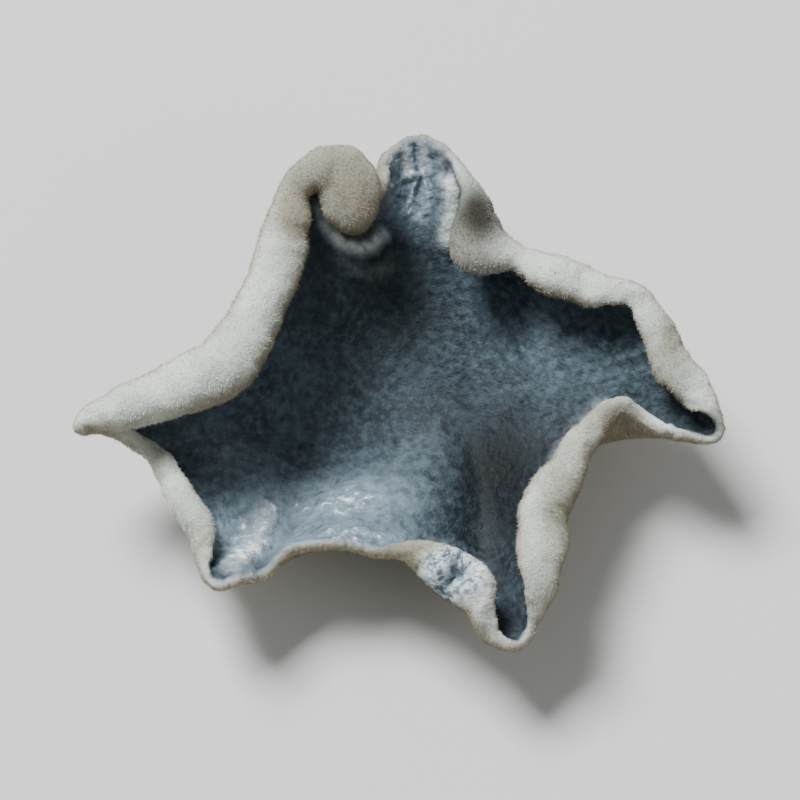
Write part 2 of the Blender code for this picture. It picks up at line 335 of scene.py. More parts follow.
def margin_curve(steps_each=24):
    """A smooth closed curve through the landmarks that carries all their values along."""
    rows = np.array([landmark[1:] for landmark in MARGIN], dtype=float)
    points = []
    for i in range(len(rows)):
        a, b, c, d = (rows[(i + k) % len(rows)] for k in (-1, 0, 1, 2))
        gaps = [math.sqrt(math.dist(p[:2], q[:2])) for p, q in ((a, b), (b, c), (c, d))]
        ta, tb, tc, td = 0.0, gaps[0], gaps[0] + gaps[1], sum(gaps)
        for t in np.linspace(tb, tc, steps_each, endpoint=False):
            ab = blend(a, b, ta, tb, t)
            bc = blend(b, c, tb, tc, t)
            cd = blend(c, d, tc, td, t)
            points.append(blend(blend(ab, bc, ta, tc, t), blend(bc, cd, tb, td, t), tb, tc, t))
    return np.array(points)


def evenly_along(curve, count):
    closed = np.vstack((curve, curve[:1]))
    steps = np.linalg.norm(np.diff(closed[:, :2], axis=0), axis=1)
    along = np.concatenate(([0.0], np.cumsum(steps)))
    places = np.linspace(0.0, along[-1], count, endpoint=False)
    return np.stack([np.interp(places, along, values) for values in closed.T], axis=1), along[-1]


margin, MARGIN_LENGTH = evenly_along(margin_curve(), COLUMNS)
print(f"margin: {len(MARGIN)} landmarks, {MARGIN_LENGTH:.1f} mm round")

# %% The middle layer of the sheet, from the hub over the crest and round the roll
SHORTEST_RIPPLE, LONGEST_RIPPLE = 1.8, 6.0    # mm
RIPPLE_OUT, RIPPLE_UP = 0.07, 0.10            # mm, their usual height
RIPPLE_IN_ROLL = 0.05                         # as a share of the roll's radius
MORE_AT_FRONT = 1.2                           # what the front lip has on top, as a share
FRONT_FROM, FRONT_FULL = -3.5, -5.0           # mm in y, where that begins and is full
SWELLS_FADE = 0.25                            # over this last share of each rib


def ripple(seed, size):
    """Small waves along the margin, at random but always the same."""
    chance = np.random.default_rng(seed)
    place = np.arange(COLUMNS) * MARGIN_LENGTH / COLUMNS
    waves = np.zeros(COLUMNS)
    for order in range(round(MARGIN_LENGTH / LONGEST_RIPPLE),
                       round(MARGIN_LENGTH / SHORTEST_RIPPLE)):
        strength = chance.normal() / order ** 2
        waves += strength * np.cos(2.0 * math.pi * order * place / MARGIN_LENGTH
                                   + chance.uniform(0.0, 2.0 * math.pi))
    return waves * size / waves.std()


def middle_layer():
    crest = margin[:, :3]
    lean = np.radians(margin[:, 3])
    run = margin[:, 4:5]
    radius = margin[:, 5]
    turn = np.radians(margin[:, 6])
    hub = np.array(HUB)

    ahead = np.roll(crest, -1, axis=0) - np.roll(crest, 1, axis=0)
    facing = unit(np.stack((ahead[:, 1], -ahead[:, 0], np.zeros(COLUMNS)), axis=1))
    facing = unit(calm(facing, CALM_FACING))
    front_share = smoothstep((FRONT_FROM - margin[:, 1]) / (FRONT_FROM - FRONT_FULL))
    at_front = 1.0 + MORE_AT_FRONT * front_share
    ripple_out = ripple(3, RIPPLE_OUT) * at_front
    ripple_up = ripple(5, RIPPLE_UP) * at_front
    radius = radius * (1.0 + ripple(8, RIPPLE_IN_ROLL))

    level_out = hub + (crest - hub) * (HUB_RUN, HUB_RUN, 0.0)
    arriving = crest - (np.cos(lean)[:, None] * facing + np.sin(lean)[:, None] * UP) * run
    rows = []
    for share in np.linspace(0.0, 1.0, RINGS + 1):
        rest = 1.0 - share
        ring = (rest ** 3 * hub + 3 * rest ** 2 * share * level_out
                + 3 * rest * share ** 2 * arriving + share ** 3 * crest)
        ring = calm(ring, CALM_HUB * rest ** 1.3 + CALM_MARGIN * (1.0 - share ** 6))
        ring[:, 2] += bells(ring[:, 0], ring[:, 1], SWELLS) * smoothstep(rest / SWELLS_FADE)
        ring[:, 2] += fold_height(ring[:, 0], ring[:, 1])
        ring += (facing * ripple_out[:, None] + UP * ripple_up[:, None]) * share ** 5
        rows.append(ring)
    for step in range(1, ROLL_ROWS + 1):
        angle = lean + turn * step / ROLL_ROWS
        outward = radius * (np.sin(angle) - np.sin(lean))
        upward = radius * (np.cos(lean) - np.cos(angle))
        rows.append(rows[RINGS] + outward[:, None] * facing + upward[:, None] * UP)
    return np.array(rows)


layer = middle_layer()
print("middle layer:", layer.shape[0], "rows of", layer.shape[1], "points")

# %% [markdown]
# ## From a layer to a closed sheet
# A sheet has two faces and an edge. Half the thickness is laid off to either side of the middle
# layer, and a few rows go round the free edge, so one net of points runs from the hub up the inner
# face, round the edge, and back down the outer face to the hub. Each row knows its side, from 1 on
# the inner face to 0 on the outer, and how far out it is. Both are kept for the finishes later.


# %% Two faces and a rounded edge
def two_faces():
    along_rib = np.gradient(layer, axis=0)
    along_margin = np.roll(layer, -1, axis=1) - np.roll(layer, 1, axis=1)
    inward = np.cross(along_margin, along_rib)
    inward[0] = UP
    size = np.linalg.norm(inward, axis=2, keepdims=True)
    inward = np.where(size > 1e-9, inward / np.maximum(size, 1e-9), UP)
    if inward[1, :, 2].mean() < 0:
        inward = -inward

    half = 0.5 * np.interp(np.arange(len(layer)), (0, RINGS, RINGS + ROLL_ROWS),
                           (THICKNESS_HUB, THICKNESS_CREST, THICKNESS_EDGE))[:, None, None]
    inner = layer + inward * half
    outer = layer - inward * half

    edge_out = unit(layer[-1] - layer[-2])
    rim = [layer[-1] + (inward[-1] * math.cos(a) + edge_out * math.sin(a)) * half[-1]
           for a in np.linspace(0.0, math.pi, RIM_ROWS + 2)[1:-1]]
    points = np.concatenate((inner, rim, outer[::-1]))

    reach = np.concatenate((np.arange(len(layer)) / RINGS,
                            np.full(RIM_ROWS, (len(layer) - 1) / RINGS),
                            np.arange(len(layer))[::-1] / RINGS))
    side = np.concatenate((np.ones(len(layer)), np.linspace(1, 0, RIM_ROWS + 2)[1:-1],
                           np.zeros(len(layer))))
    return points, side, reach


points, side_of_row, reach_of_row = two_faces()
print("closed net:", points.shape[0] * points.shape[1], "points")

# %% [markdown]
# ## How it lies
# The cup lies on three places: the flat cut of its foot and two low places of its belly. The skin
# is drawn down to each of them and rises gently between, the same way as on the solid, so the
# two rest alike.

# %% Set the belly and the cut foot on the ground
outer_rows = side_of_row < 0.5
flat = points.reshape(-1, 3)
flat[:, 2] -= SETTLED
away = np.hypot(flat[:, 0] - FOOT_AT[0], flat[:, 1] - FOOT_AT[1])
is_outer = np.repeat(outer_rows & (reach_of_row < 1.0), COLUMNS)
drawn = is_outer & (flat[:, 2] < 4.0)         # the belly, and not the rolls
flat[drawn, 2] *= 1.0 - smoothstep((FOOT_FLARE - away[drawn]) / (FOOT_FLARE - FOOT_RADIUS))
clear = np.maximum(away - FOOT_RADIUS, 0.0)
for place in RESTS:
    gap = np.hypot(flat[:, 0] - place[0], flat[:, 1] - place[1])
    flat[drawn, 2] *= 1.0 - smoothstep((REST_WIDTH - gap[drawn]) / REST_WIDTH)
    clear = np.minimum(clear, gap)
flat[:, 2] = np.maximum(flat[:, 2], REST_SLOPE * clear)
print("lowest points of the sheet, mm:", np.sort(flat[:, 2])[:3].round(3))

# %% [markdown]
# ## The knob
# The left roll ends in a knob: there the tube has closed on itself and its hollow is shut. A
# closed rounded body says that best. It overlaps the end of the roll, and the next step joins them.

# %% The knob in which the left roll ends
knob_place = (Matrix.Translation(KNOB_AT) @ Matrix.Rotation(math.radians(KNOB_TURN), 4, "Z")
              @ Matrix.Rotation(math.radians(KNOB_DROOP), 4, "X")
              @ Matrix.Diagonal(KNOB_HALF + (1.0,)))


def depth_in_knob(x, y, z):
    """0 at the middle of the knob, 1 on its skin, more outside."""
    turned = np.array(knob_place.inverted()) @ np.stack((x, y, z, np.ones_like(x)))
    return np.linalg.norm(turned[:3], axis=0)


print("knob, half axes in mm:", KNOB_HALF)

# %% Make the net a mesh
column = np.arange(COLUMNS)
row = np.arange(len(points) - 1)[:, None]
after = (column + 1) % COLUMNS
quads = np.stack((row * COLUMNS + column, row * COLUMNS + after,
                  (row + 1) * COLUMNS + after, (row + 1) * COLUMNS + column), axis=2)
net_mesh = bpy.data.meshes.new("sheet_net")
net_mesh.from_pydata(flat * MM, [], quads.reshape(-1, 4))
net = bmesh.new()
net.from_mesh(net_mesh)
bmesh.ops.remove_doubles(net, verts=net.verts, dist=1e-7)
bmesh.ops.recalc_face_normals(net, faces=net.faces)
bmesh.ops.create_icosphere(net, subdivisions=5, radius=1.0,
                           matrix=Matrix.Diagonal((MM, MM, MM, 1.0)) @ knob_place)
net.to_mesh(net_mesh)
net.free()
print("sheet net:", len(net_mesh.vertices), "vertices,", len(net_mesh.polygons), "faces")

# %% [markdown]
# ## Folds that have dried together
# Where rolls meet at the tips, the sheet lies in itself. On the real one those folds have stuck
# and dried as one. Voxel Remesh does the same: it keeps only the outer skin, in even cells. What
# each place was, inner face or outer and how far out, is looked up from the net afterwards.

# %% One even skin
SKIN_GRAIN = 0.15             # mm, cell size of the skin


def plain_mesh(thing):
    """Makes what the modifiers show the object's own mesh."""
    graph = bpy.context.evaluated_depsgraph_get()
    result = bpy.data.meshes.new_from_object(thing.evaluated_get(graph))
    thing.modifiers.clear()
    thing.data = result


skin = put("dried_wood_ear", net_mesh)
join = skin.modifiers.new("dried together", "REMESH")
join.mode = "VOXEL"
join.voxel_size = SKIN_GRAIN * MM
soften = skin.modifiers.new("no cell steps", "SMOOTH")
soften.factor = 0.5
soften.iterations = 5
plain_mesh(skin)
print("skin:", len(skin.data.vertices), "vertices,", len(skin.data.polygons), "faces")

# %% Look up what each place of the skin is
ROUND_RADIUS = MARGIN_LENGTH / (2.0 * math.pi)
RIB_RUN = 4.0                 # mm of noise from the hub to the crest


def read(rows, field, width=1, kind=np.float32):
    """Reads a field of a mesh's vertices, edges or the like as an array."""
    values = np.empty(width * len(rows), kind)
    rows.foreach_get(field, values)
    return values.reshape(-1, width) if width > 1 else values


def keep(name, values, kind="FLOAT"):
    """Keeps a value, or a vector, with each point of the skin."""
    attribute = skin.data.attributes.new(name, kind, "POINT")
    field = "value" if kind == "FLOAT" else "vector"
    attribute.data.foreach_set(field, np.ascontiguousarray(values, np.float32).ravel())


source = BVHTree.FromPolygons([tuple(p) for p in flat], [tuple(q) for q in quads.reshape(-1, 4)])
where = read(skin.data.vertices, "co", 3).astype(float)
found = np.array([source.find_nearest(Vector(p / MM))[2] for p in where])
row_found, column_found = np.divmod(found, COLUMNS)
angle_round = 2.0 * math.pi * column_found / COLUMNS
x, y, z = (where / MM).T
inner = side_of_row[row_found]
reach = reach_of_row[row_found]
on_knob = depth_in_knob(x, y, z) < 1.12               # its skin, and a little round it
under_horn = (x < -13.2) & (y < 0.35) & (z < 5.6)     # the edge has gone into the outer face
inner[on_knob | under_horn] = 0.0
keep("inner", inner)
keep("reach", reach)
keep("rib_space", np.stack((np.cos(angle_round) * ROUND_RADIUS,
                            np.sin(angle_round) * ROUND_RADIUS, reach * RIB_RUN), axis=1),
     "FLOAT_VECTOR")
print(f"inner face: {100 * (inner > 0.5).mean():.0f}% of the skin's points")

# %% [markdown]
# ## The nub
# At the front a short roll has dried into a nub whose top has fallen in, with a crumpled ring
# round the hollow. The ring and the hollow are two bells on the skin, and the ring's radius goes
# in and out a little as it goes round, because nothing dries to a true circle.

# %% The nub at the front, a small roll whose top has fallen in
NUB_AT = (2.1, -7.3)
NUB_RING, RING_WIDTH, RING_RISE = 1.05, 0.30, 0.30    # mm, the ring's radius on average
HOLLOW_WIDTH, HOLLOW_DEPTH = 0.42, 0.60               # mm
NUB_FROM, NUB_RISE = 4.6, 0.8      # mm, the height where it begins, and until it is full
round_nub = np.arctan2(y - NUB_AT[1], x - NUB_AT[0])
from_nub = np.hypot(x - NUB_AT[0], (y - NUB_AT[1]) * 1.25)
waved = NUB_RING * (1.0 + 0.16 * np.cos(3.0 * round_nub + 0.8) + 0.10 * np.cos(5.0 * round_nub))
on_nub = smoothstep((z - NUB_FROM) / NUB_RISE)
ringed = np.exp(-0.5 * ((from_nub - waved) / RING_WIDTH) ** 2) * on_nub
sunken = np.exp(-0.5 * (from_nub / HOLLOW_WIDTH) ** 2) * on_nub
where[:, 2] += (RING_RISE * ringed - HOLLOW_DEPTH * sunken) * MM
skin.data.vertices.foreach_set("co", where.astype(np.float32).ravel())
skin.data.update()
keep("sunken", sunken)
print("nub: points on its ring and in its hollow:", (ringed > 0.5).sum(), (sunken > 0.5).sum())

# %% [markdown]
# ## Powder, and painted light
# Old spores and dust lie as a pale blue frost where the inner face was turned up while it dried:
# thick on the front mound, in the front left corner and on the nub, thin in the right half. The
# same value paints light too: highlights on the front mound and the front left corner, a lit pale
# patch on the neck, and light in the shaded left lobe, left tip and right half. Each patch is a
# bell of its own width, and the crests of the folds are paler too, from dust and from painted
# highlight. Painting a map would tie the frost to pixels. Bells in millimetres go with the part at
# any resolution.

# %% Where powder and painted light lie on the inner face, and where the skin has crumpled
# Powder, and painted light: the lit patch on the neck, highlights on the front mound and the front
# left corner, and light in the shaded left lobe, left tip and right half.
POWDER_AND_PAINTED_LIGHT = (  # name, strength, place x y, half width, half length
    ("front mound",              1.00, -2.6, -2.6, 2.3, 1.3),
    ("top of the middle mound",  0.34,  0.6,  0.9, 1.9, 1.4),
    ("left lobe",                0.55, -6.3, -2.6, 1.6, 1.2),
    ("corner at the front left", 1.20, -7.9, -5.0, 1.0, 1.2),
    ("along the front lip",      0.80, -2.8, -5.2, 3.6, 0.7),
    ("nub",                      1.00,  1.8, -7.2, 1.4, 1.2),
    ("right half",               0.34,  6.4,  5.2, 2.2, 1.8),
    ("right corner",             0.30, 11.2,  3.2, 1.6, 1.4),
    ("left tip",                 0.50, -8.8, -0.2, 2.0, 1.3),
    ("neck",                     1.45,  0.0, 12.1, 1.2, 1.2),
)
CRUMPLED = (
    ("nub",                      1.00,  2.0, -7.2, 1.3, 1.2),
    ("corner at the front left", 0.50, -7.9, -6.6, 0.9, 0.9),
    ("neck",                     0.35,  0.3, 12.2, 1.5, 1.4),
)
powder_and_painted_light = np.clip(bells(x, y, POWDER_AND_PAINTED_LIGHT), 0.0, 1.0)
# Pale crests of folds: dust, and painted highlight where they catch the light.
crest_dust_and_highlight = np.max([paleness * beside(x, y, line, half_width)
                for _, _, half_width, paleness, line in FOLDS], axis=0)
keep("powder_and_painted_light", powder_and_painted_light)
keep("crest_dust_and_highlight", crest_dust_and_highlight)
keep("crumpled", np.clip(bells(x, y, CRUMPLED), 0.0, 1.0))
print(f"powdered: {100 * (powder_and_painted_light > 0.3).mean():.0f}% of the points, pale folds:",
      f"{100 * (crest_dust_and_highlight > 0.3).mean():.1f}%")

# %% [markdown]
# ## Wrinkles
# As the cup dried, its skin shrank less than the flesh and took fine wrinkles that run out along
# the ribs and round the rolls, deepest near the margin. The outside is also lumpy at a larger
# scale, the nub at the front has crumpled, and the inside has a fine net. A geometry node tree
# moves each point along its normal by noise. The wrinkles' noise is read in rib space, where one
# way runs round the margin and one runs out along the rib. The tree gives all of the skin the
# inner face's finish, and the faces that are felted or cut get theirs afterwards.

# %% The tree that wrinkles the skin: its inputs, and what it reads
WRINKLES = {  # heights in mm
    "Wrinkle height": 0.09, "Wrinkles per mm": 1 / 1.1,
    "Lump height": 0.22, "Lumps per mm": 1 / 2.4,
    "Crumple height": 0.22, "Crumples per mm": 1 / 1.1,
    "Net height": 0.09, "Net cells per mm": 1 / 0.9,
}
inner_skin = bpy.data.materials.new("smooth inner skin, dried")     # filled in a later step


def new_tree(name, inputs):
    """A geometry node tree with named inputs, each with its kind of socket."""
    tree = bpy.data.node_groups.new(name, "GeometryNodeTree")
    for socket, kind in {"Geometry": "Geometry", **inputs}.items():
        tree.interface.new_socket(socket, in_out="INPUT", socket_type="NodeSocket" + kind)
    tree.interface.new_socket("Geometry", in_out="OUTPUT", socket_type="NodeSocketGeometry")
    return tree


def use_tree(thing, tree, values):
    """Puts the tree on an object, sets its inputs by identifier, and makes the result its mesh."""
    modifier = thing.modifiers.new(tree.name, "NODES")
    modifier.node_group = tree
    for item in tree.interface.items_tree:
        if item.in_out == "INPUT" and item.name in values:
            modifier[item.identifier] = values[item.name]
    plain_mesh(thing)


wrinkles = new_tree("drying wrinkles",
                    {**{name: "Float" for name in WRINKLES}, "Finish": "Material"})
given = add(wrinkles, "NodeGroupInput").outputs
position = add(wrinkles, "GeometryNodeInputPosition")
in_mm = add(wrinkles, "ShaderNodeVectorMath", {0: position, "Scale": 1000.0}, operation="SCALE")
rib_space, on_inner, how_far, crumple, powder_and_light = (
    add(wrinkles, "GeometryNodeInputNamedAttribute", {"Name": name}, data_type=kind)
    for name, kind in (("rib_space", "FLOAT_VECTOR"), ("inner", "FLOAT"), ("reach", "FLOAT"),
                       ("crumpled", "FLOAT"), ("powder_and_painted_light", "FLOAT")))
print("inputs:", ", ".join(WRINKLES))

# %% Wrinkles along the ribs, lumps and crumples
LINE_WIDTH = 0.16             # of a raised line, in steps of a noise that runs from 0 to 1


def ridged(noise, height):
    """Turns smooth noise into thin raised lines of that height, with 0 between them."""
    centred = add(wrinkles, "ShaderNodeMath", {0: noise, 1: 0.5}, operation="SUBTRACT")
    folded = add(wrinkles, "ShaderNodeMath", {0: centred}, operation="ABSOLUTE")
    return add(wrinkles, "ShaderNodeMapRange",
               {"Value": folded, "From Max": LINE_WIDTH, "To Min": height, "To Max": 0.0},
               interpolation_type="SMOOTHSTEP")


rib_noise = add(wrinkles, "ShaderNodeTexNoise",
                {"Vector": rib_space, "Scale": given["Wrinkles per mm"],
                 "Detail": 2.0, "Roughness": 0.5})
by_side = add(wrinkles, "ShaderNodeMapRange", {"Value": on_inner, "To Min": 0.8})
near_margin = add(wrinkles, "ShaderNodeMapRange",
                  {"Value": how_far, "From Min": 0.35, "From Max": 0.95, "To Max": by_side})
rib_lines = ridged(rib_noise, near_margin)

lump_noise = add(wrinkles, "ShaderNodeTexNoise",
                 {"Vector": in_mm, "Scale": given["Lumps per mm"],
                  "Detail": 3.0, "Roughness": 0.55})
lumps = add(wrinkles, "ShaderNodeMath", {0: lump_noise, 1: 0.5}, operation="SUBTRACT")

crumple_noise = add(wrinkles, "ShaderNodeTexNoise",
                    {"Vector": in_mm, "Scale": given["Crumples per mm"],
                     "Detail": 2.0, "Roughness": 0.5, "Distortion": 0.4})
crumple_lines = ridged(crumple_noise, crumple)
print(wrinkles.name, "has", len(wrinkles.nodes), "nodes so far")

# %% The inner face's net, strongest where powder and painted light lie, its cells bent out of line
BEND = 1.6                    # mm
NET_LINE = 0.22               # half a line's width, as a share of a cell
net_bend = add(wrinkles, "ShaderNodeTexNoise", {"Vector": in_mm, "Scale": 0.9, "Detail": 2.0})
net_place = add(wrinkles, "ShaderNodeVectorMath",
                {0: net_bend.outputs["Color"], 1: (BEND, BEND, BEND), 2: in_mm},
                operation="MULTIPLY_ADD")
net_cells = add(wrinkles, "ShaderNodeTexVoronoi",
                {"Vector": net_place, "Scale": given["Net cells per mm"]},
                feature="DISTANCE_TO_EDGE")
by_powder_and_light = add(wrinkles, "ShaderNodeMapRange", {"Value": powder_and_light, "To Min": 0.25})
net_share = add(wrinkles, "ShaderNodeMapRange", {"Value": on_inner, "To Max": by_powder_and_light})
net_lines = add(wrinkles, "ShaderNodeMapRange",
                {"Value": net_cells, "From Max": NET_LINE, "To Min": net_share, "To Max": 0.0},
                interpolation_type="SMOOTHSTEP")
print("cells of the net, mm:", 1 / WRINKLES["Net cells per mm"])

# %% Add them up and move the skin
lift = 0.0
for relief, height in ((rib_lines, "Wrinkle height"), (lumps, "Lump height"),
                       (net_lines, "Net height"), (crumple_lines, "Crumple height")):
    lift = add(wrinkles, "ShaderNodeMath", {0: relief, 1: given[height], 2: lift},
               operation="MULTIPLY_ADD")
lift = add(wrinkles, "ShaderNodeMath", {0: lift, 1: MM}, operation="MULTIPLY")
normal = add(wrinkles, "GeometryNodeInputNormal")
offset = add(wrinkles, "ShaderNodeVectorMath", {0: normal, "Scale": lift}, operation="SCALE")
moved = add(wrinkles, "GeometryNodeSetPosition",
            {"Geometry": given["Geometry"], "Offset": offset})
real = add(wrinkles, "GeometryNodeRealizeInstances", {"Geometry": moved})
finished = add(wrinkles, "GeometryNodeSetMaterial",
               {"Geometry": real, "Material": given["Finish"]})
add(wrinkles, "NodeGroupOutput", {"Geometry": finished})
use_tree(skin, wrinkles, {**WRINKLES, "Finish": inner_skin})
print("wrinkled skin:", len(skin.data.polygons), "faces")

# %% Keep it on the ground and centred, as the solid is
PRESSED = 0.06                # mm, skin lower than this lies flat on the ground
where = read(skin.data.vertices, "co", 3)
where[:, 2] = np.where(where[:, 2] < PRESSED * MM, 0.0, where[:, 2])
middle = (where.min(axis=0) + where.max(axis=0)) / 2.0
where[:, :2] -= middle[:2]
skin.data.vertices.foreach_set("co", where.ravel())
skin.data.update()
SHIFT = middle[:2] / MM
print("shift to centre, mm:", SHIFT.round(3))

# %% [markdown]
# ## Where the skin is pale, dark or tan
# A few more values go with each point of the skin. Raised lines are paler than hollows. The felt is
# bleached, and has painted light, where it faces up, so that its sides and low parts are darker, as
# if lit from above. It is tan on the knob and on the sides of the rolls, partly as painted shade,
# has painted shade almost black on the flap beside the neck, where it lies in shadow, and is
# browner towards the foot. The bloom on the inner face is full in the left and right lobes and thin
# in the valley between. It also paints light into the shaded left lobe and neck, and paints shade
# into the valley and below the knob.

# %% How far each point stands out of the skin round it
CALM_ROUNDS = 12              # makes each point an average of the skin 0.5 mm round it
FULL_RISE = 0.08              # mm
edges = read(skin.data.edges, "vertices", 2, np.int32)
normals = read(skin.data.vertex_normals, "vector", 3)
neighbours = np.bincount(edges.ravel(), minlength=len(where))[:, None]


def spread_out(values, rounds):
    """Averages each point with its neighbours, again and again."""
    for _ in range(rounds):
        total = np.zeros_like(values)
        np.add.at(total, edges[:, 0], values[edges[:, 1]])
        np.add.at(total, edges[:, 1], values[edges[:, 0]])
        values = total / neighbours
    return values


calmed = spread_out(where.astype(float), CALM_ROUNDS)
raised = np.einsum("ij,ij->i", where - calmed, normals) / MM
raised = spread_out(raised[:, None], 1)[:, 0]
print("raised, mm:", raised.min().round(3), "to", raised.max().round(3))

# %% More or less bleach and painted light, tan and painted shade, and bloom and painted light
# Painted shade: less of the pale felt at the front lip and in the dark gaps at the top and left of
# the neck.
LESS_BLEACH_AND_PAINTED_LIGHT = (  # name, share, place x y, half width, half length
    ("front lip",        0.75, -2.6, -6.4, 4.2, 1.0),
    ("top of the neck",  0.75,  0.6, 14.2, 1.9, 1.2),
    ("left of the neck", 0.75, -1.4, 13.2, 0.6, 1.2),
)
# Painted light: the rim of the flap and the lip of the left hollow are made pale, as if lit.
MORE_BLEACH_AND_PAINTED_LIGHT = (
    ("rim of the flap",        1.0,   3.0,  7.8, 1.1, 0.8),
    ("lip of the left hollow", 1.0, -10.6, -2.8, 1.2, 2.4, 25),
)
# Tan, partly the felt's own colour and partly painted shade on the knob, beside it and on the
# shaded sides of the rolls.
TAN_AND_PAINTED_SHADE = (
    ("knob",                       1.0, -2.7, 10.4, 1.4, 1.9),
    ("back of the knob",           0.4, -4.3, 12.0, 1.3, 1.0),
    ("left roll beside the knob",  1.2, -5.4,  9.3, 0.7, 1.3),
    ("front lip",                  0.7, -2.4, -6.3, 3.6, 0.9),
    ("right roll",                 0.9, 12.0,  3.6, 0.7, 1.2),
    ("lower right roll",           0.8,  8.0, -4.8, 1.0, 3.2),
    ("lower right roll, inside",   0.5,  6.4, -4.0, 0.5, 1.6),
    ("right hollow",               0.7,  9.4,  0.6, 1.1, 0.8),
)
# Bloom, partly real, and partly painted light in shaded places such as the right half, left lobe
# and neck, and painted shade in the valley and below the knob.
BLOOM_AND_PAINTED_LIGHT = (
    ("right half",                  0.80,  6.4,  5.8, 3.2, 2.2),
    ("right tip",                   0.30,  9.8,  3.2, 2.5, 1.6),
    ("middle of the cup",          -0.10,  0.3,  1.4, 3.0, 2.4),
    ("front mound",                 0.60, -3.5, -3.9, 4.5, 1.9),
    ("left lobe",                   1.10, -7.4,  1.2, 4.0, 3.6),
    ("neck",                        0.60,  0.0, 12.2, 1.3, 1.4),
    ("below the knob",             -0.25, -1.4,  6.4, 2.6, 2.0),
    ("valley right of the mounds", -0.50,  4.0, -1.8, 1.8, 3.4),
)
USUAL_BLOOM = 0.42
print("bells of tan:", len(TAN_AND_PAINTED_SHADE), "and of bloom:", len(BLOOM_AND_PAINTED_LIGHT))

# %% Values for the finishes
x, y = (where[:, :2] / MM + SHIFT).T
z = where[:, 2] / MM
inner = read(skin.data.attributes["inner"].data, "value")
foot_away = np.hypot(x - FOOT_AT[0], y - FOOT_AT[1])
cut = (z < 0.01) & (foot_away < FOOT_RADIUS + 0.9) & (y > 5.0)
# Painted light: the felt is paler where it faces up and stands high, and darker on its sides and
# low down, as light from above would make it. The rest is bleach.
bleach_and_painted_light = smoothstep((normals[:, 2] - 0.05) / 0.80) * smoothstep((z - 2.5) / 4.0)
for bell in LESS_BLEACH_AND_PAINTED_LIGHT:
    bleach_and_painted_light *= 1.0 - bells(x, y, (bell,))
for bell in MORE_BLEACH_AND_PAINTED_LIGHT:
    bleach_and_painted_light = np.maximum(bleach_and_painted_light, bells(x, y, (bell,)))
resting = smoothstep((0.45 - z) / 0.25)
crumbly = np.clip(1.3 * np.exp(-0.5 * (from_nub / 1.35) ** 4), 0.0, 1.0) * on_nub
for name, values in {
    "raised": np.clip(raised / FULL_RISE, -1.0, 1.0),
    "bleach_and_painted_light": bleach_and_painted_light,
    "tan_and_painted_shade": np.clip(bells(x, y, TAN_AND_PAINTED_SHADE), 0.0, 1.0),
    # painted shade: the flap beside the neck is made almost black where it lies in shadow
    "shaded": 1.0 - (1.0 - bump_at(x, y, 3.2, 9.9, 0.75, 1.05)) ** 2.2,   # the dark flap
    "browned": smoothstep((5.0 - foot_away) / 4.0),
    "bloom_and_painted_light": np.clip(USUAL_BLOOM + bells(x, y, BLOOM_AND_PAINTED_LIGHT), 0.0, 1.0),
    "felted": np.clip(1.0 - 1.6 * inner, 0.0, 1.0) * (1.0 - resting) * (1.0 - crumbly),
    "crumbly": crumbly,
}.items():
    keep(name, values)
    print(name, "on average:", values.mean().round(3))

# %% [markdown]
# ## Finish of the inner face
# The inside is the spore-bearing skin. Dried, it is like black leather: smooth, a little waxy, and
# dulled by a blue-grey bloom. It gives broad soft highlights, with pale frost where powder stays,
# and the bloom and the frost also carry painted light and shade.
# A finish is built as a painter does it: a base colour, and coats over it. Each coat lies where a
# value of the skin or a noise says, from where it begins to where it is full. Places are in
# millimetres, so the scale of a noise is 1 over the width of its spots: 0.5 gives 2 mm.

# %% Smooth inner skin: bloom with painted light and shade, blotches of about 0.3 mm, net of pale lines


def start_finish(finish, fixed):
    """Fills the shader's fixed values. Gives the tree, the shader and the place in millimetres."""
    finish.use_nodes = True
    tree = finish.node_tree
    shader = tree.nodes["Principled BSDF"]
    fill(tree, shader, fixed)
    place = add(tree, "ShaderNodeTexCoord").outputs["Object"]
    return tree, shader, add(tree, "ShaderNodeMapping",
                             {"Vector": place, "Scale": (1000.0, 1000.0, 1000.0)})


def coated(tree, base, *coats):
    """Lays coats of colour over a base. A coat is: where it lies (a value's name, or a node),
    the values at which it begins and is full, how much it covers then, and its colour."""
    for place, begins, full, cover, colour in coats:
        if isinstance(place, str):
            place = add(tree, "ShaderNodeAttribute", attribute_name=place).outputs["Fac"]
        share = add(tree, "ShaderNodeMapRange", {"Value": place, "From Min": begins,
                                                 "From Max": full, "To Max": cover})
        base = add(tree, "ShaderNodeMix", {0: share, 6: base, 7: colour}, data_type="RGBA")
    return base


tree, shader, in_mm = start_finish(inner_skin, {"IOR": 1.40, "Specular IOR Level": 0.3})
clouds = add(tree, "ShaderNodeTexNoise",
             {"Vector": in_mm, "Scale": 0.5, "Detail": 4.0, "Roughness": 0.55})
cloudy = add(tree, "ShaderNodeMapRange",
             {"Value": clouds, "From Min": 0.35, "From Max": 0.65, "To Min": 0.45})
mottle = add(tree, "ShaderNodeTexNoise",
             {"Vector": in_mm, "Scale": 2.6, "Detail": 3.0, "Roughness": 0.6})
blotchy = add(tree, "ShaderNodeMapRange",
              {"Value": mottle, "From Min": 0.46, "From Max": 0.66, "To Max": 0.70})
# bloom, which also paints light and shade in places
base = coated(tree, "#121719",
              ("bloom_and_painted_light", 0, 1, cloudy, "#46555e"),
              ("bloom_and_painted_light", 0, 1, blotchy, "#5a6b75"),
              (mottle, 0.42, 0.28, 0.6, "#12171a"),
              ("raised", 0.10, 0.9, 0.55, "#66767f"))
print(inner_skin.name, "has", len(tree.nodes), "nodes so far")

